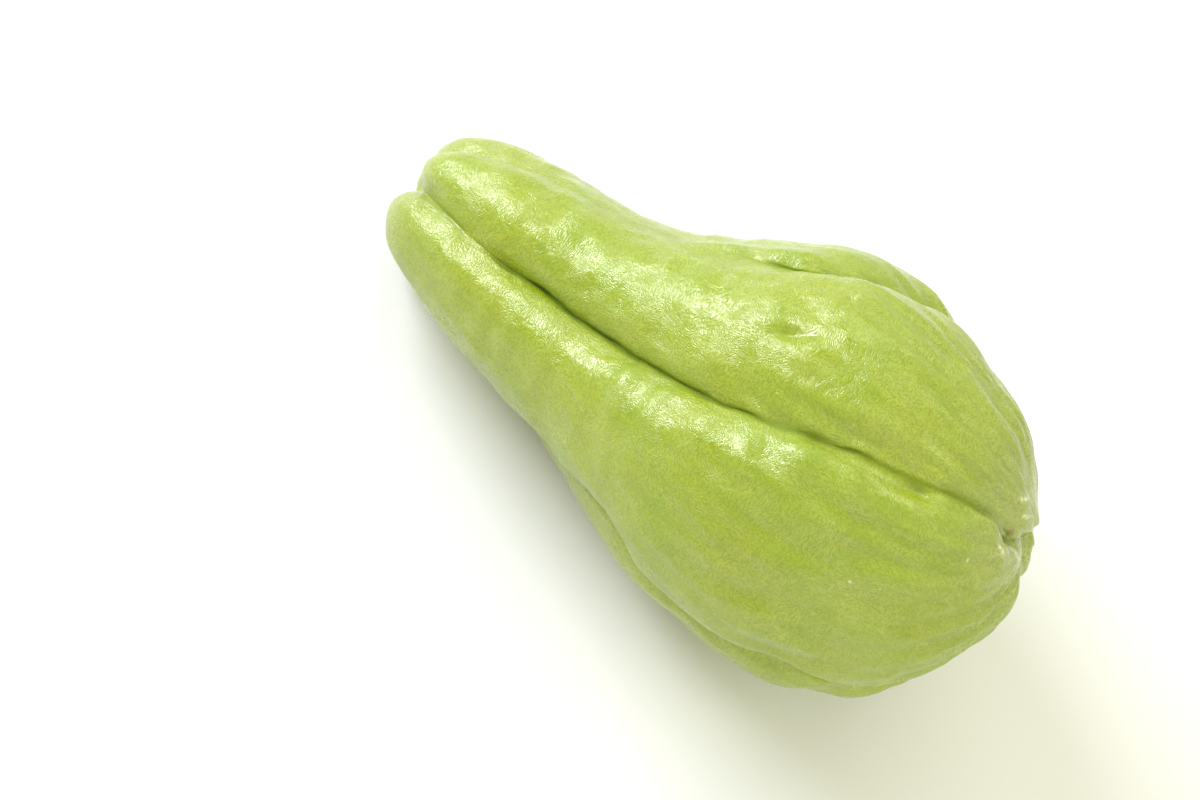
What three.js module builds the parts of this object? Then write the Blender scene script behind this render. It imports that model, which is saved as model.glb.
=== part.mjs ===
// A chayote squash, picked and lying on a table: one solid fruit, pear-shaped, with five lobes.
// Deep furrows part the lobes. They start at the stem scar, run down the neck and over the belly,
// and close in the puckered mouth at the blossom end.
//
// The fruit is first shaped about its own axis: x runs from the stem end to the blossom end, and an
// angle of 0 degrees faces -Y and 90 degrees faces +Z. It is then laid down on its lowest points.
import * as THREE from "three";
import { ConvexHull } from "three/addons/math/ConvexHull.js";

// ---- Driving dimensions, in millimetres ----
const LENGTH = 144.3; // from end to end along the axis
const WIDTH = 81; // across the belly, from edge to edge
const THICKNESS = 72; // through the belly, between its flatter sides
const STEM_DIMPLE = 6; // how far the stem scar lies below the lobe tips
const MOUTH_DEPTH = 9; // how far the mouth is drawn in at the blossom end
const CREASE_REACH = 1.4; // how far a furrow's sharp crease spreads to either side
const RIB_HEIGHT = 0.25; // the low ribs between the furrows
const REST_SIDE = 208; // the angle, in degrees, of the side that the fruit lies on
const REST_DENT = 0.4; // how far each spot that the fruit lies on is pressed flat

// ---- Mesh ----
const ROWS = 64; // from the stem scar to the mouth
const COLUMNS_PER_LOBE = 18;

const radians = THREE.MathUtils.degToRad;

const smooth = (s) => {
  const c = THREE.MathUtils.clamp(s, 0, 1);
  return c * c * (3 - 2 * c);
};

// A smooth line through [x, value] stations, level beyond its ends.
function track(...stations) {
  const last = stations.length - 1;
  const slope = (i) => {
    if (i === 0 || i === last) return 0;
    const [before, after] = [stations[i - 1], stations[i + 1]];
    return (after[1] - before[1]) / (after[0] - before[0]);
  };
  return (x) => {
    if (x <= stations[0][0]) return stations[0][1];
    if (x >= stations[last][0]) return stations[last][1];
    const i = stations.findIndex((station) => station[0] > x) - 1;
    const [x0, y0] = stations[i];
    const [x1, y1] = stations[i + 1];
    const span = x1 - x0;
    const s = (x - x0) / span;
    const [s2, s3] = [s * s, s * s * s];
    return (
      y0 * (2 * s3 - 3 * s2 + 1) +
      slope(i) * span * (s3 - 2 * s2 + s) +
      y1 * (3 * s2 - 2 * s3) +
      slope(i + 1) * span * (s3 - s2)
    );
  };
}

// ---- Body ----
// Distance along the axis and half width over the lobes, from the stem scar to the mouth.
const profile = new THREE.SplineCurve(
  [
    [STEM_DIMPLE, 0],
    [STEM_DIMPLE * 0.8, 0.04],
    [STEM_DIMPLE * 0.25, 0.1],
    [0, 0.188],
    [2.5, 0.304],
    [8, 0.398],
    [21, 0.494],
    [42, 0.57],
    [52, 0.632],
    [62, 0.736],
    [80, 0.936],
    [97, 1],
    [114, 0.911],
    [128, 0.743],
    [136.6, 0.504],
    [LENGTH - 2.4, 0.284],
    [LENGTH - 1.2, 0.173],
    [LENGTH - 3, 0.089],
    [LENGTH - 6.4, 0.04],
    [LENGTH - MOUTH_DEPTH, 0],
  ].map(([x, share]) => new THREE.Vector2(x, (share * WIDTH) / 2)),
);
profile.arcLengthDivisions = 800;

// The middle of each cross-section lies off the straight axis, so the neck bends.
const middleUp = track(
  [0, 7.9],
  [12, 7.7],
  [31, 4.9],
  [52, 1.7],
  [75, 1.2],
  [90, 1.6],
  [116, -1.4],
  [131, -2.1],
  [LENGTH, -2.4],
);

// Depth of each cross-section through the fruit, as a share of its width.
const belly = THICKNESS / WIDTH;
const flatness = track([0, 1], [35, 1], [80, belly], [125, belly], [LENGTH, 0.95]);

// The stem scar and the mouth lie off the middle of the rounded ends that hold them: how far up,
// how wide a part of the end is drawn along, and how round that end is.
const stemEnd = { side: 1, up: 2.4, reach: 14, roundness: 0.03 };
const blossomEnd = { side: -1, up: 12, reach: 18, roundness: 0.019 };

// ---- Furrows ----
// Each is a soft valley with a creased bottom, and keeps to its own angle. valley and crease are
// depths, and above and below are how far the valley reaches to either side.
const furrows = [
  {
    name: "front",
    angle: track(
      [0, 6], [12, -2], [24, -4], [45, 0], [75, 0], [90, 2], [105, 9], [125, 19], [LENGTH, 36],
    ),
    valley: track([0, 3], [20, 3], [40, 4], [80, 4], [105, 2.6], [130, 2], [LENGTH, 2]),
    crease: track([0, 1.6], [20, 0.8], [35, 2], [80, 2], [98, 1], [118, 0.5], [LENGTH, 1.2]),
    above: track([0, 3.5], [30, 6], [80, 10], [125, 8], [LENGTH, 3.5]),
    below: track([0, 3.5], [30, 4.5], [80, 5], [125, 5], [LENGTH, 3.5]),
  },
  {
    name: "top",
    angle: track(
      [0, 58], [12, 62], [25, 60], [45, 65], [65, 60], [80, 59], [92, 69], [105, 85], [120, 100],
      [LENGTH, 106],
    ),
    valley: track(
      [0, 3], [25, 1.2], [40, 0.6], [60, 0.8], [75, 2.2], [100, 4], [125, 2.8], [LENGTH, 2],
    ),
    crease: track([0, 1.6], [25, 0.3], [45, 0], [65, 0.2], [90, 1.6], [125, 1], [LENGTH, 1.6]),
    above: track([0, 3.5], [30, 6], [80, 7], [125, 7], [LENGTH, 3.5]),
    below: track([0, 3.5], [30, 5], [80, 6], [125, 6], [LENGTH, 3.5]),
  },
  {
    name: "back",
    angle: track([0, 128], [50, 136], [105, 146], [125, 158], [LENGTH, 184]),
    valley: track([0, 3], [30, 2.5], [70, 3.4], [120, 3], [LENGTH, 2]),
    crease: track([0, 1.6], [30, 1], [70, 1.5], [115, 1.5], [LENGTH, 0.7]),
    above: track([0, 3.5], [30, 6], [80, 8], [125, 7], [LENGTH, 3.5]),
    below: track([0, 3.5], [30, 6], [80, 8], [125, 7], [LENGTH, 3.5]),
  },
  {
    name: "under",
    angle: track([0, 205], [50, 208], [105, 212], [LENGTH, 228]),
    valley: track([0, 3], [30, 2.5], [70, 3.4], [120, 3], [LENGTH, 2]),
    crease: track([0, 1.6], [30, 1], [70, 1.5], [115, 1.5], [LENGTH, 0.7]),
    above: track([0, 3.5], [30, 6], [80, 9], [125, 7], [LENGTH, 3.5]),
    below: track([0, 3.5], [30, 6], [80, 9], [125, 7], [LENGTH, 3.5]),
  },
  {
    name: "lower",
    angle: track(
      [0, 276], [35, 268], [52, 282], [70, 295], [82, 286], [104, 285], [114, 289], [122, 280],
      [132, 266], [LENGTH, 258],
    ),
    valley: track([0, 3], [25, 1.8], [60, 1.8], [90, 2.4], [120, 2], [LENGTH, 2]),
    crease: track([0, 1.6], [30, 0.5], [60, 1.4], [115, 1.4], [LENGTH, 0.7]),
    above: track([0, 3.5], [30, 5], [80, 4], [125, 5], [LENGTH, 3.5]),
    below: track([0, 3.5], [30, 6], [80, 7], [125, 6], [LENGTH, 3.5]),
  },
];

// ---- Swells and dents ----
// share is how far along the skin each one is, from the stem scar, 0, to the mouth, 1. Its height
// and its reach along and around the fruit are in millimetres.
const swells = [
  { share: 0.569, angle: 31, height: -1.2, along: 3.6, around: 2.2 },
  { share: 0.494, angle: 37, height: -0.5, along: 2.6, around: 2 },
  { share: 0.658, angle: 9, height: -1, along: 3, around: 2 },
  { share: 0.784, angle: 18, height: -1.2, along: 2.6, around: 1.8 },
  { share: 0.832, angle: 22, height: -0.8, along: 2.2, around: 1.6 },
  { share: 0.9, angle: 272, height: -1, along: 2.6, around: 6 },
  { share: 0.905, angle: 170, height: 1.3, along: 5, around: 3.5 },
  { share: 0.915, angle: 143, height: -0.8, along: 4, around: 3 },
  { share: 0.65, angle: 104, height: 1.4, along: 8, around: 9 },
  { share: 0.69, angle: 100, height: -3, along: 4, around: 5.5 },
  { share: 0.685, angle: 77, height: 1.1, along: 6, around: 5 },
  { share: 0.93, angle: 10, height: -1, along: 5, around: 6 },
  { share: 0.055, angle: 166, height: 4, along: 10, around: 8 },
  { share: 0.06, angle: 30, height: -1.2, along: 5, around: 6 },
];

// The fruit without furrows: u runs from the stem scar, 0, to the mouth, 1.
function plainPoint(u, angle) {
  const { x, y: r } = profile.getPointAt(u);
  const a = radians(angle);
  const end = x < LENGTH / 2 ? stemEnd : blossomEnd;
  const up = end.up * (1 - smooth(r / end.reach));
  const dip = end.side * end.roundness * (2 * r * up * Math.sin(a) + up * up);
  return new THREE.Vector3(
    x + dip,
    -Math.cos(a) * r * flatness(x),
    middleUp(x) + up + Math.sin(a) * r,
  );
}

// Furrows and swells move the skin to and from the axis, or to and from a point inside each end.
function outward(point) {
  const x = THREE.MathUtils.clamp(point.x, 14, LENGTH - 38);
  return point.clone().sub(new THREE.Vector3(x, 0, middleUp(x))).normalize();
}

// An angle as the turn from straight ahead, -180 to 180 degrees.
const turn = (angle) => THREE.MathUtils.euclideanModulo(angle + 180, 360) - 180;

// How far the furrows draw the skin in. They fade out where they meet in the scar and the mouth.
function furrowDepth(x, r, angle) {
  let depth = 0;
  for (const furrow of furrows) {
    const off = (radians(turn(angle - furrow.angle(x))) * r * (1 + flatness(x))) / 2;
    const reach = off > 0 ? furrow.above(x) : furrow.below(x);
    depth += furrow.valley(x) * Math.exp(-((off / reach) ** 2));
    depth += furrow.crease(x) * Math.exp(-Math.abs(off) / CREASE_REACH);
  }
  return depth * smooth(r / 7);
}

function swellHeight(u, r, angle) {
  let height = 0;
  for (const swell of swells) {
    const away = (u - swell.share) * profile.getLength();
    const off = radians(turn(angle - swell.angle)) * r;
    height += swell.height * Math.exp(-((away / swell.along) ** 2) - (off / swell.around) ** 2);
  }
  return height;
}

// Low lengthwise ribs rise over the belly and gather towards the mouth.
function ribHeight(x, r, angle) {
  const a = radians(angle);
  const wander = 0.5 * Math.sin(x / 17);
  const waves = Math.sin(21 * a + wander) + 0.7 * Math.sin(13 * a + 1.7 - wander);
  return RIB_HEIGHT * waves * smooth((x - 70) / 45) * smooth((r - 8) / 14);
}

function skinPoint(u, angle) {
  const { x, y: r } = profile.getPointAt(u);
  const point = plainPoint(u, angle);
  const height = swellHeight(u, r, angle) + ribHeight(x, r, angle) - furrowDepth(x, r, angle);
  return point.addScaledVector(outward(point), height);
}

// ---- Mesh: rows round the fruit, closed by a point in the scar and one in the mouth ----
// Spreads steps from 0 to 1, with some of them crowded towards both ends.
const spread = (s, crowding) => s * (1 - crowding) + ((1 - Math.cos(Math.PI * s)) / 2) * crowding;

// The angle of each column where the axis distance is x. Columns crowd together at the furrows.
function columnAngles(x) {
  const angles = [];
  furrows.forEach((furrow, i) => {
    const from = furrow.angle(x);
    const next = furrows[(i + 1) % furrows.length].angle(x);
    const to = next > from ? next : next + 360;
    for (let j = 0; j < COLUMNS_PER_LOBE; j++) {
      angles.push(from + (to - from) * spread(j / COLUMNS_PER_LOBE, 0.6));
    }
  });
  return angles;
}

function fruitGeometry() {
  const points = [plainPoint(0, 0)];
  for (let i = 1; i < ROWS; i++) {
    const u = spread(i / ROWS, 0.3);
    const { x } = profile.getPointAt(u);
    points.push(...columnAngles(x).map((angle) => skinPoint(u, angle)));
  }
  const mouth = points.push(plainPoint(1, 0)) - 1;

  const columns = furrows.length * COLUMNS_PER_LOBE;
  const at = (row, column) => 1 + (row - 1) * columns + (column % columns);
  const faces = [];
  for (let j = 0; j < columns; j++) {
    faces.push(0, at(1, j), at(1, j + 1));
    for (let i = 1; i < ROWS - 1; i++) {
      faces.push(at(i, j), at(i + 1, j), at(i + 1, j + 1));
      faces.push(at(i, j), at(i + 1, j + 1), at(i, j + 1));
    }
    faces.push(mouth, at(ROWS - 1, j + 1), at(ROWS - 1, j));
  }
  const geometry = new THREE.BufferGeometry().setFromPoints(points);
  geometry.setIndex(faces);
  return geometry;
}

// ---- Laying the fruit down ----
function centreOfMass(geometry) {
  const position = geometry.getAttribute("position");
  const [a, b, c] = [new THREE.Vector3(), new THREE.Vector3(), new THREE.Vector3()];
  const centre = new THREE.Vector3();
  let volume = 0;
  for (let i = 0; i < geometry.index.count; i += 3) {
    a.fromBufferAttribute(position, geometry.index.getX(i));
    b.fromBufferAttribute(position, geometry.index.getX(i + 1));
    c.fromBufferAttribute(position, geometry.index.getX(i + 2));
    const part = a.dot(b.clone().cross(c)) / 6;
    volume += part;
    centre.addScaledVector(a.clone().add(b).add(c), part / 4);
  }
  return centre.divideScalar(volume);
}

// The direction that points down when the fruit lies on three points of its skin with its weight
// between them. Of the ways in which it can lie so, the one nearest to REST_SIDE is taken.
function restDirection(geometry, centre) {
  const hull = new ConvexHull().setFromObject(new THREE.Mesh(geometry));
  const wanted = new THREE.Vector3(0, -Math.cos(radians(REST_SIDE)), Math.sin(radians(REST_SIDE)));
  const triangle = new THREE.Triangle();
  const below = new THREE.Vector3();
  let down = null;
  for (const face of hull.faces) {
    triangle.set(...[0, 1, 2].map((i) => face.getEdge(i).head().point));
    below.copy(centre).addScaledVector(face.normal, -face.distanceToPoint(centre));
    const steady = triangle.containsPoint(below);
    if (steady && (!down || face.normal.dot(wanted) > down.dot(wanted))) down = face.normal.clone();
  }
  return down;
}

// Turns the fruit onto its rest with x along it, puts the middle of its outline over the origin and
// presses flat the spots that carry it.
function layDown(geometry) {
  const up = restDirection(geometry, centreOfMass(geometry)).negate();
  const along = new THREE.Vector3(1, 0, 0).projectOnPlane(up).normalize();
  const across = up.clone().cross(along);
  geometry.applyMatrix4(new THREE.Matrix4().makeBasis(along, across, up).transpose());
  geometry.computeBoundingBox();
  const { min, max } = geometry.boundingBox;
  geometry.translate(-(min.x + max.x) / 2, -(min.y + max.y) / 2, -min.z - REST_DENT);
  const position = geometry.getAttribute("position");
  for (let i = 0; i < position.count; i++) {
    position.setZ(i, Math.max(position.getZ(i), 0));
  }
  return geometry;
}

const fruit = new THREE.Mesh(
  layDown(fruitGeometry()),
  new THREE.MeshStandardMaterial({ color: 0xa9bd45, roughness: 0.38, metalness: 0 }),
);
fruit.name = "chayote_fruit";

const chayote = new THREE.Group();
chayote.add(fruit);
export default chayote;
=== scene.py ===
import math

import bmesh
import bpy
import numpy as np
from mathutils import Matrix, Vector, noise


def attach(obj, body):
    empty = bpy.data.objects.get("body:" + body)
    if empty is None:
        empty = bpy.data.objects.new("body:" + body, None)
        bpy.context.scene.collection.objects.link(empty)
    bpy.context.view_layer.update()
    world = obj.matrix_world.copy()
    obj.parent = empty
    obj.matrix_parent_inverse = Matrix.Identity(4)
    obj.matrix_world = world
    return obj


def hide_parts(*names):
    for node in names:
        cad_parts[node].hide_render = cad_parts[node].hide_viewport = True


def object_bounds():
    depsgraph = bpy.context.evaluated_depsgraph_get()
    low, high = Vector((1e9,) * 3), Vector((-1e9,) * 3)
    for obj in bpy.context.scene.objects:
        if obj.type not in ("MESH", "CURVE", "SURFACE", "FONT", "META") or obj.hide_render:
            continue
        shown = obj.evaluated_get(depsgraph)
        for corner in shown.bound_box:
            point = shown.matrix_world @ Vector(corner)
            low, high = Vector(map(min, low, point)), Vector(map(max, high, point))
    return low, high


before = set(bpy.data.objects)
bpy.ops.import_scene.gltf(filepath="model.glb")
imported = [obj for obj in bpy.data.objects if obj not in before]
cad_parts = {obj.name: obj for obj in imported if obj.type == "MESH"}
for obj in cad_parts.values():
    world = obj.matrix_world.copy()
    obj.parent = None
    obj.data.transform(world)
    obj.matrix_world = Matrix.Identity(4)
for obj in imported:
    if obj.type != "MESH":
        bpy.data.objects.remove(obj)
cad_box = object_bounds()
MM = 0.001

# ---- The fruit ----
# One chayote, grown in one piece: firm pale flesh under a thin green skin, drawn into furrows that
# part five lobes. The skin here is the solid's own surface with its rows and columns rounded off,
# while the bottoms of the furrows stay sharp.
furrow_fold = 0.4  # radians: an edge folded inwards by more than this is the bottom of a furrow
tightest_fold = 1.4  # radians: how far it is folded where the skin is pinched shut
sharpest_crease = 0.8
easing_rounds = 60  # enough to blur the furrows while the pear shape stays

fruit = bpy.data.objects.new("chayote_skin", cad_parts["chayote_fruit"].data.copy())
bpy.context.scene.collection.objects.link(fruit)
bpy.ops.object.select_all(action="DESELECT")
fruit.select_set(True)
bpy.context.view_layer.objects.active = fruit
bpy.ops.object.mode_set(mode="EDIT")
bpy.ops.mesh.select_all(action="SELECT")
bpy.ops.mesh.remove_doubles(threshold=0.005 * MM)
bpy.ops.mesh.customdata_custom_splitnormals_clear()
bpy.ops.object.mode_set(mode="OBJECT")

# All columns of the surface meet in two points: the middle of the stem scar and of the mouth.
shape = bmesh.new()
shape.from_mesh(fruit.data)
ends = sorted(shape.verts, key=lambda vert: len(vert.link_edges))[-2:]
stem, mouth = sorted((np.array(vert.co) for vert in ends), key=lambda point: point[0])
sides = [face for face in shape.faces if not any(vert in ends for vert in face.verts)]
bmesh.ops.join_triangles(
    shape, faces=sides, angle_face_threshold=math.pi, angle_shape_threshold=math.pi
)

# The furrows' creases fade out towards the stem scar and the mouth.
crease_layer = shape.edges.layers.float.new("crease_edge")
pinched_layer = shape.verts.layers.float.new("pinched")
for edge in shape.edges:
    fold = -edge.calc_face_angle_signed()
    if fold > furrow_fold:
        spot = np.array(edge.verts[0].co)
        stem_gap, mouth_gap = (np.linalg.norm(spot - end) / MM for end in (stem, mouth))
        edge[crease_layer] = max(
            0, min(sharpest_crease, (stem_gap - 24) / 16, (mouth_gap - 10) / 24)
        )
        for vert in edge.verts:
            vert[pinched_layer] = min(1, max(vert[pinched_layer], fold / tightest_fold))

# How far each point lies below the skin around it: the furrows are hollow, the lobes are not.
shape.verts.ensure_lookup_table()
shape.verts.index_update()
links_from = np.array([edge.verts[0].index for edge in shape.edges])
links_to = np.array([edge.verts[1].index for edge in shape.edges])
rough_points = np.array([vert.co for vert in shape.verts])
rough_normals = np.array([vert.normal for vert in shape.verts])
neighbours = np.bincount(links_from, minlength=len(rough_points))
neighbours += np.bincount(links_to, minlength=len(rough_points))
eased = rough_points.copy()
for _ in range(easing_rounds):
    total = np.zeros_like(eased)
    np.add.at(total, links_from, eased[links_to])
    np.add.at(total, links_to, eased[links_from])
    eased += 0.5 * (total / neighbours[:, None] - eased)
rough_hollow = ((eased - rough_points) * rough_normals).sum(axis=1) / MM
hollow_layer = shape.verts.layers.float.new("hollow")
for vert in shape.verts:
    vert[hollow_layer] = rough_hollow[vert.index]
shape.to_mesh(fruit.data)
shape.free()

rounding = fruit.modifiers.new("rounding", "SUBSURF")
rounding.levels = 2
rounding.render_levels = 2
bpy.ops.object.modifier_apply(modifier="rounding")
bpy.ops.object.shade_smooth()

# ---- The fruit: the finer relief of its skin ----
# Lumps, ribs, pleats and knobs, most of them under a millimetre high, small dents, and the corky
# disc that the stem left. They are pushed out of the rounded skin or into it, and everything here is
# in millimetres. The pale scar lines by the mouth are only measured here, for the skin's colour.
rib_height = 1.05
pleat_height = 0.16
knob_height = 0.5
pucker_height = 0.12
disc_height = 0.6
disc_radius = 3.2
scar_width = 0.4
dent_width = 0.4  # as a share of a dent's length
furrow_sway = 1.5
fade_width = 1.2  # how close to the table or to the solid's extent the relief starts to fade

mesh = fruit.data


def numbers(source, field, width):
    """What the mesh holds in a field, as one row for each vertex."""
    values = np.empty(len(source) * width)
    source.foreach_get(field, values)
    return values.reshape(-1, width)


points = numbers(mesh.vertices, "co", 3) / MM
normals = numbers(mesh.vertices, "normal", 3)
hollow = numbers(mesh.attributes["hollow"].data, "value", 1)[:, 0]
pinched = numbers(mesh.attributes["pinched"].data, "value", 1)[:, 0]

# Each point's place along the fruit's axis, around it, and from either end of it.
axis = (mouth - stem) / np.linalg.norm(mouth - stem)
side = np.cross(axis, [0, 0, 1])
side /= np.linalg.norm(side)
over = np.cross(side, axis)
off_stem = points - stem / MM
along = off_stem @ axis
off_axis = off_stem - along[:, None] * axis
around = np.arctan2(off_axis @ over, off_axis @ side)
ring = np.column_stack([np.cos(around), np.sin(around)])
to_stem = np.linalg.norm(off_stem, axis=1)
to_mouth = np.linalg.norm(points - mouth / MM, axis=1)


def ease(value):
    """A smooth step, from 0 where the value is 0 or less to 1 where it is 1 or more."""
    value = np.clip(value, 0, 1)
    return value * value * (3 - 2 * value)


def waves(places):
    """A smooth noise, from about -1 to 1, with waves one unit long."""
    return np.array([noise.noise(Vector(place)) for place in places])


# Lumps, smaller swells drawn out along the fruit, and ribs that gather towards the mouth.
belly = ease((along - 40) / 45)
lump_height = 0.14 + 0.46 * belly
lumps = lump_height * waves(points / 9)
swell_height = 0.18 + 0.04 * belly
swells = swell_height * waves(off_axis / 2.6 + along[:, None] / 14)
ribs = rib_height * waves(np.column_stack([ring * 11, along / 22 + 7]))
ribs *= ease((along - 65) / 40) * ease((to_mouth - 6) / 16)

# The skin is pleated across the shoulders of the furrows, and knobbly along them.
shoulder = ease((hollow + 0.6) / 1.2)
pleats = pleat_height * waves(np.column_stack([ring * 2.5, along / 2.6 + 90])) * shoulder
brink = ease((-hollow - 0.1) / 0.8) * ease((hollow + 3.2) / 1.4)
knobs = knob_height * waves(np.column_stack([ring * 2.4, along / 4.6 + 40])) * brink

# Wrinkles run into the mouth, and the stem has left a low corky disc.
pucker = pucker_height * waves(np.column_stack([ring * 5, to_mouth / 14]))
pucker *= ease(1 - to_mouth / 16) * ease(to_mouth / 5)
disc = disc_height * ease((disc_radius - to_stem) / 1.2) * (1 + 0.5 * waves(points / 0.9))


def by_line(middle, run):
    """How far each point lies along a line through the middle, and how far off that line."""
    away = points - np.array(middle)
    run = np.array(run) / np.linalg.norm(run)
    distance = away @ run
    return distance, np.linalg.norm(away - distance[:, None] * run, axis=1)


# Pale scar lines follow the lip of the mouth: the middle, the direction and half the length of each.
scars = np.zeros(len(points))
for middle, run, reach in (
    ((62.0, 0.0, 56.4), (0.77, 0.02, -0.64), 4.4),
    ((60.9, -2.2, 58.3), (0.70, -0.2, -0.68), 3.6),
    ((59.5, -4.2, 60.4), (0.62, -0.35, -0.70), 3.2),
    ((60.5, 4.5, 60.0), (0.35, 0.6, -0.7), 4.5),
    ((58.0, 6.0, 61.8), (0.35, 0.65, -0.65), 4.5),
):
    distance, off_line = by_line(middle, run)
    scars += np.exp(-((distance / reach) ** 4) - (off_line / scar_width) ** 2)

# Dents, and knobs where the depth is below zero: the middle, the direction that each is drawn out
# in, half its length and its depth.
dents = np.zeros(len(points))
for middle, run, reach, depth in (
    # the dimple in the back of the second lobe, and a smaller one towards its neck
    ((5.6, 2.6, 66.6), (0.85, 0.4, 0.3), 3.6, 1.4),
    ((-5.0, 2.5, 61.1), (0.8, 0.5, 0.3), 1.8, 0.5),
    # nicks and a long hollow in the front furrow, towards the mouth
    ((41.9, -7.2, 66.2), (0.9, 0.2, -0.1), 2.8, 1.0),
    ((49.1, -5.0, 64.9), (0.9, 0.2, -0.2), 2.4, 0.9),
    ((20.3, -11.2, 64.6), (0.9, 0.3, 0.2), 3.0, 0.6),
    ((38.0, -8.8, 66.8), (0.95, 0.2, 0.0), 7.0, 0.7),
    # a notch on the blossom end, and the slit of the mouth
    ((67.0, -10.8, 52.7), (0.5, -0.5, -0.7), 2.2, 1.2),
    ((60.0, -0.2, 58.0), (0.8, 0.1, -0.6), 3.6, 1.6),
    # swellings that close the front furrow before the mouth
    ((45.7, -6.2, 65.6), (0.9, 0.3, -0.1), 3.0, -1.1),
    ((54.5, -2.6, 62.8), (0.8, 0.4, -0.4), 4.6, -1.3),
    # knobs along the first lobe's shoulder
    ((-13.6, -15.0, 46.7), (0.3, -0.8, -0.4), 6.0, -0.65),
    ((-6.6, -16.8, 50.4), (0.3, -0.8, -0.4), 6.0, -0.65),
    ((2.4, -19.6, 56.0), (0.3, -0.8, -0.4), 7.0, -0.8),
    ((11.6, -19.9, 60.9), (0.3, -0.8, -0.3), 6.5, -0.75),
    ((20.4, -17.5, 64.5), (0.3, -0.8, -0.3), 6.5, -0.75),
    ((30.1, -15.8, 66.7), (0.3, -0.8, -0.2), 6.0, -0.6),
    # two low swellings along the third lobe
    ((-12.6, 18.3, 49.0), (0.85, 0.32, 0.4), 6.5, -1.3),
    ((-3.6, 21.2, 53.8), (0.85, 0.32, 0.4), 6.0, -1.25),
):
    distance, off_line = by_line(middle, run)
    dents += depth * np.exp(-((distance / reach) ** 2) - (off_line / (dent_width * reach)) ** 2)

# The relief fades where the skin touches the table or would grow past the solid's own extent.
corner_low, corner_high = (np.array(corner) / MM for corner in cad_box)
room = np.minimum(points - corner_low, corner_high - points).min(axis=1)
height = (lumps + swells) * ease(to_mouth / 12) + ribs + pleats + knobs + pucker + disc - dents
height *= ease(room / fade_width)

# The furrows wander a little to either side of their course.
sway = furrow_sway * waves(np.column_stack([ring * 1.2, along / 7 + 60]))
sway *= ease((hollow + 1.6) / 2.2) * ease(room / 3)
sway *= ease((to_mouth - 4) / 12) * ease((to_stem - 4) / 12)
sideways = np.cross(normals, axis)
points += height[:, None] * normals + sway[:, None] * sideways
mesh.vertices.foreach_set("co", (points * MM).ravel())

# What the skin's material reads at each point, beside its place.
for name, values in (
    # hollow: how deep a point lies in a furrow or dent; the colour darkens there, partly as painted
    # shade
    ("hollow", hollow + 2.2 * np.maximum(dents, 0)),
    # pinched: how tightly the skin folds at a crease; the colour darkens there as painted shade
    ("pinched", pinched * ease((along - 16) / 18) * np.clip(1 + dents, 0, 1)),
    ("scars", scars),
    ("from_stem", to_stem),
    ("from_mouth", to_mouth),
):
    layer = mesh.attributes.get(name) or mesh.attributes.new(name, "FLOAT", "POINT")
    layer.data.foreach_set("value", values)
mesh.update()

# ---- The fruit: its skin's colour and shine ----
# Waxy and finely wrinkled, light green with yellower and fresher patches. The furrows and dents are
# deeper green, partly their own colour and partly painted shade; painted shade also darkens the
# creases and the grooves of the wrinkles. The ends of the lobes are paler with a touch of tan, and
# the neck is paler, partly its own paler skin and partly a painted highlight.
fresh_green = (0.250, 0.325, 0.010, 1)
yellow_green = (0.295, 0.345, 0.016, 1)
streak_green = (0.345, 0.385, 0.065, 1)
furrow_green_and_shade = (0.135, 0.195, 0.006, 1)
crease_shade_green = (0.085, 0.13, 0.004, 1)
wrinkle_groove_shade = (0.155, 0.235, 0.006, 1)
blossom_cream = (0.39, 0.40, 0.165, 1)
mouth_tan = (0.29, 0.27, 0.11, 1)
neck_pale_and_highlight = (0.36, 0.39, 0.09, 1)
cork_tan = (0.27, 0.23, 0.13, 1)
scar_cream = (0.80, 0.78, 0.52, 1)
scuff_cream = (0.6, 0.62, 0.35, 1)
spot_brown = (0.22, 0.13, 0.04, 1)

skin = bpy.data.materials.new("chayote skin")
skin.use_nodes = True
nodes = skin.node_tree.nodes
links = skin.node_tree.links
surface = nodes["Principled BSDF"]
surface.inputs["Subsurface Weight"].default_value = 0.2
surface.inputs["Subsurface Radius"].default_value = (0.8, 1, 0.25)
surface.inputs["Subsurface Scale"].default_value = 4 * MM
surface.inputs["Coat Roughness"].default_value = 0.23
surface.inputs["Specular Tint"].default_value = (0.9, 0.95, 0.62, 1)


def texture(vector, scale, detail=2.0, squeeze=(1, 1, 1)):
    """A noise laid along the fruit's axis, which rises by about 15 degrees towards the mouth."""
    laid = nodes.new("ShaderNodeMapping")
    laid.vector_type = "POINT"
    laid.inputs["Rotation"].default_value = (0, math.radians(14.6), 0)
    laid.inputs["Scale"].default_value = squeeze
    links.new(vector, laid.inputs["Vector"])
    pattern = nodes.new("ShaderNodeTexNoise")
    pattern.inputs["Scale"].default_value = scale
    pattern.inputs["Detail"].default_value = detail
    links.new(laid.outputs["Vector"], pattern.inputs["Vector"])
    return pattern


def blend(amount, first, second):
    mixer = nodes.new("ShaderNodeMix")
    mixer.data_type = "RGBA"
    for socket, value in (("Factor", amount), ("A", first), ("B", second)):
        inlet = next(i for i in mixer.inputs if i.name == socket and i.enabled)
        if isinstance(value, (tuple, float)):
            inlet.default_value = value
        else:
            links.new(value, inlet)
    return next(o for o in mixer.outputs if o.enabled)


def spread(value, low, high, to_low=0.0, to_high=1.0):
    """Takes low to to_low and high to to_high, smoothly, and stays level beyond them."""
    ramp = nodes.new("ShaderNodeMapRange")
    ramp.interpolation_type = "SMOOTHSTEP"
    for socket, number in (
        ("From Min", low), ("From Max", high), ("To Min", to_low), ("To Max", to_high)
    ):
        ramp.inputs[socket].default_value = number
    links.new(value, ramp.inputs["Value"])
    return ramp.outputs["Result"]


def stored(name):
    reader = nodes.new("ShaderNodeAttribute")
    reader.attribute_name = name
    return reader.outputs["Fac"]


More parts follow.
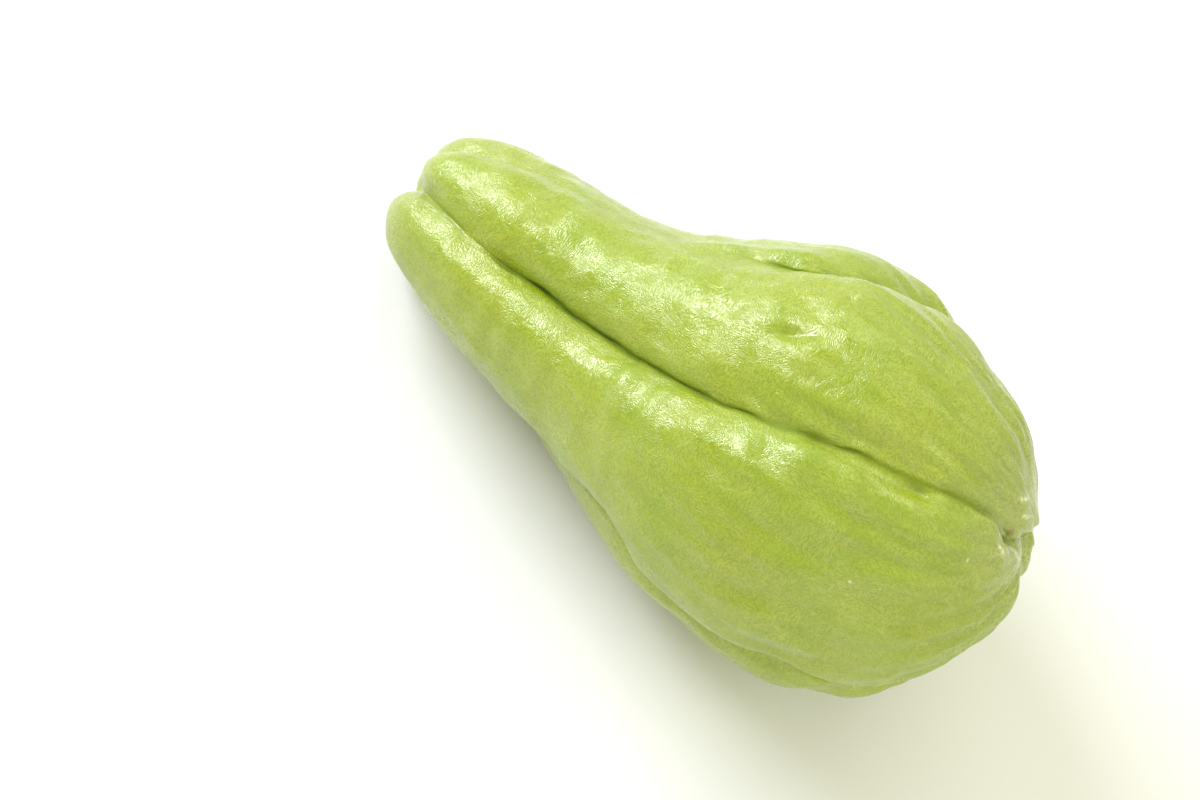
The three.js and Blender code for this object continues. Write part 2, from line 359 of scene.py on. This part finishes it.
where = nodes.new("ShaderNodeTexCoord").outputs["Object"]
mottle = texture(where, 48).outputs["Fac"]
streaks = texture(where, 300, 3.0, (0.16, 1, 1)).outputs["Fac"]
colour = blend(spread(mottle, 0.38, 0.62), fresh_green, yellow_green)
colour = blend(spread(streaks, 0.35, 0.7, 0.0, 0.55), colour, streak_green)
# The furrows and dents darker green: partly their own colour, partly painted shade.
colour = blend(spread(stored("hollow"), -0.2, 1.9, 0.0, 0.85), colour, furrow_green_and_shade)
# A darker painted shade along the creases, where the skin folds shut.
colour = blend(spread(stored("pinched"), 0.1, 0.9, 0.0, 0.7), colour, crease_shade_green)
colour = blend(spread(stored("from_mouth"), 30, 5, 0.0, 0.6), colour, blossom_cream)
colour = blend(spread(stored("from_mouth"), 7, 1, 0.0, 0.6), colour, mouth_tan)
# The neck paler: partly its own paler skin, partly a painted highlight on the tips.
colour = blend(spread(stored("from_stem"), 22, 8, 0.0, 0.45), colour, neck_pale_and_highlight)
colour = blend(spread(stored("from_stem"), 4.0, 2.6), colour, cork_tan)
colour = blend(spread(stored("scars"), 0.0, 0.8, 0.0, 0.9), colour, scar_cream)

# A few pale scuffs and one brown spot by the mouth: middle, radius and colour of each.
for middle, radius, mark in (
    ((55.7, -11.3, 63.1), 0.6, scuff_cream),
    ((40.7, -27.1, 58.8), 0.6, scuff_cream),
    ((45.8, -25.0, 59.6), 0.5, scuff_cream),
    ((60.4, 1.0, 58.1), 1.4, spot_brown),
):
    gap = nodes.new("ShaderNodeVectorMath")
    gap.operation = "DISTANCE"
    gap.inputs[1].default_value = Vector(middle) * MM
    links.new(where, gap.inputs[0])
    inside = spread(gap.outputs["Value"], radius * MM, 0.4 * radius * MM, 0.0, 0.8)
    colour = blend(inside, colour, mark)

# The wax shines unevenly, and not at all down in the creases.
shine = texture(where, 220).outputs["Fac"]
dull = nodes.new("ShaderNodeMath")
dull.operation = "ADD"
links.new(spread(shine, 0.3, 0.7, 0.26, 0.40), dull.inputs[0])
links.new(spread(stored("pinched"), 0.0, 0.5, 0.0, 0.4), dull.inputs[1])
links.new(dull.outputs["Value"], surface.inputs["Roughness"])
links.new(spread(stored("pinched"), 0.0, 0.5, 0.76, 0.0), surface.inputs["Coat Weight"])

# Fine wrinkles, like those of a fingertip, that flow across the lobes in places and along in others,
# over a coarser leathery grain.
flow = texture(where, 160)
swirl = nodes.new("ShaderNodeVectorMath")
swirl.operation = "MULTIPLY_ADD"
swirl.inputs[1].default_value = (4 * MM, 4 * MM, 4 * MM)
links.new(flow.outputs["Color"], swirl.inputs[0])
links.new(where, swirl.inputs[2])
swirled = swirl.outputs["Vector"]
across = texture(swirled, 4600, 1.0, (1, 0.3, 0.3)).outputs["Fac"]
lengthwise = texture(swirled, 4600, 1.0, (0.3, 1, 1)).outputs["Fac"]
turning = texture(where, 90).outputs["Fac"]
wrinkles = blend(spread(turning, 0.44, 0.56), across, lengthwise)
grain = texture(swirled, 900, 1.0, (0.6, 1, 1)).outputs["Fac"]
# The grooves of the wrinkles and of the grain are painted darker: painted shade.
colour = blend(spread(wrinkles, 0.58, 0.40, 0.0, 0.62), colour, wrinkle_groove_shade)
colour = blend(spread(grain, 0.56, 0.40, 0.0, 0.14), colour, wrinkle_groove_shade)
links.new(colour, surface.inputs["Base Color"])

leather = nodes.new("ShaderNodeMath")
leather.operation = "MULTIPLY_ADD"
leather.inputs[1].default_value = 0.9
links.new(grain, leather.inputs[0])
links.new(wrinkles, leather.inputs[2])
bump = nodes.new("ShaderNodeBump")
bump.inputs["Strength"].default_value = 1
bump.inputs["Distance"].default_value = 0.145 * MM
links.new(leather.outputs["Value"], bump.inputs["Height"])
links.new(bump.outputs["Normal"], surface.inputs["Normal"])
links.new(bump.outputs["Normal"], surface.inputs["Coat Normal"])

mesh.materials.clear()
mesh.materials.append(skin)
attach(fruit, "root")
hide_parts("chayote_fruit")

# ---- The floor ----
# A plain, nearly white sheet of paper that carries on past every side of the view.
bpy.ops.mesh.primitive_plane_add(size=6)
floor = bpy.context.object
floor.name = "floor"
paper = bpy.data.materials.new("paper")
paper.use_nodes = True
sheet = paper.node_tree.nodes["Principled BSDF"]
sheet.inputs["Base Color"].default_value = (0.73, 0.73, 0.73, 1)
sheet.inputs["Roughness"].default_value = 0.7
floor.data.materials.append(paper)

# ---- The room and the lights ----
# A warm white room, brighter round its walls than overhead, and five soft panels: a long one beyond
# the neck that gives the highlights, and wider and weaker ones that fill in from the other sides.
room_light = bpy.data.worlds.new("room")
room_light.use_nodes = True
backdrop = room_light.node_tree.nodes["Background"]
backdrop.inputs["Color"].default_value = (1, 0.98, 0.80, 1)
sky = room_light.node_tree.nodes.new("ShaderNodeTexCoord")
level = room_light.node_tree.nodes.new("ShaderNodeSeparateXYZ")
glow = room_light.node_tree.nodes.new("ShaderNodeMapRange")
for socket, number in (("From Min", 0.1), ("From Max", 0.95), ("To Min", 0.82), ("To Max", 0.42)):
    glow.inputs[socket].default_value = number
room_light.node_tree.links.new(sky.outputs["Generated"], level.inputs["Vector"])
room_light.node_tree.links.new(level.outputs["Z"], glow.inputs["Value"])
room_light.node_tree.links.new(glow.outputs["Result"], backdrop.inputs["Strength"])
bpy.context.scene.world = room_light
bpy.context.scene.view_settings.view_transform = "Standard"

fruit_middle = Vector((0, 0, 0.035))
panel_distance = 1.1
for name, direction, width, length, watts, tint in (
    ("key", (-0.80, 0.18, 0.55), 0.66, 0.32, 14.9, (0.95, 0.98, 1.12)),
    ("back", (-0.1, 0.70, 0.7), 1.0, 0.5, 4.4, (1, 1, 0.85)),
    ("low_fill", (0.5, -0.85, 0.2), 1.0, 0.7, 4.5, (1, 1, 0.75)),
    ("right_fill", (0.80, 0.10, 0.58), 0.9, 0.9, 3.6, (1, 1, 0.75)),
    ("overhead", (0.1, -0.35, 1.0), 1.6, 1.4, 3.7, (1, 1, 0.85)),
):
    panel = bpy.data.lights.new(name, "AREA")
    panel.shape = "RECTANGLE"
    panel.size = width
    panel.size_y = length
    panel.energy = watts
    panel.color = tint
    light = bpy.data.objects.new(name, panel)
    light.location = fruit_middle + Vector(direction).normalized() * panel_distance
    light.rotation_euler = (light.location - fruit_middle).to_track_quat("Z", "Y").to_euler()
    bpy.context.scene.collection.objects.link(light)

# ---- The camera ----
# A long lens that looks down on the fruit, rolled so that the neck points to the upper left.
camera_data = bpy.data.cameras.new("camera")
camera_data.lens = 100
camera_data.sensor_width = 36
camera_data.clip_start = 0.05
camera = bpy.data.objects.new("camera", camera_data)
camera.location = (-0.0219, -0.2876, 0.6004)
camera.rotation_euler = [math.radians(angle) for angle in (20.66, -15.51, 33.87)]
bpy.context.scene.collection.objects.link(camera)
bpy.context.scene.camera = camera
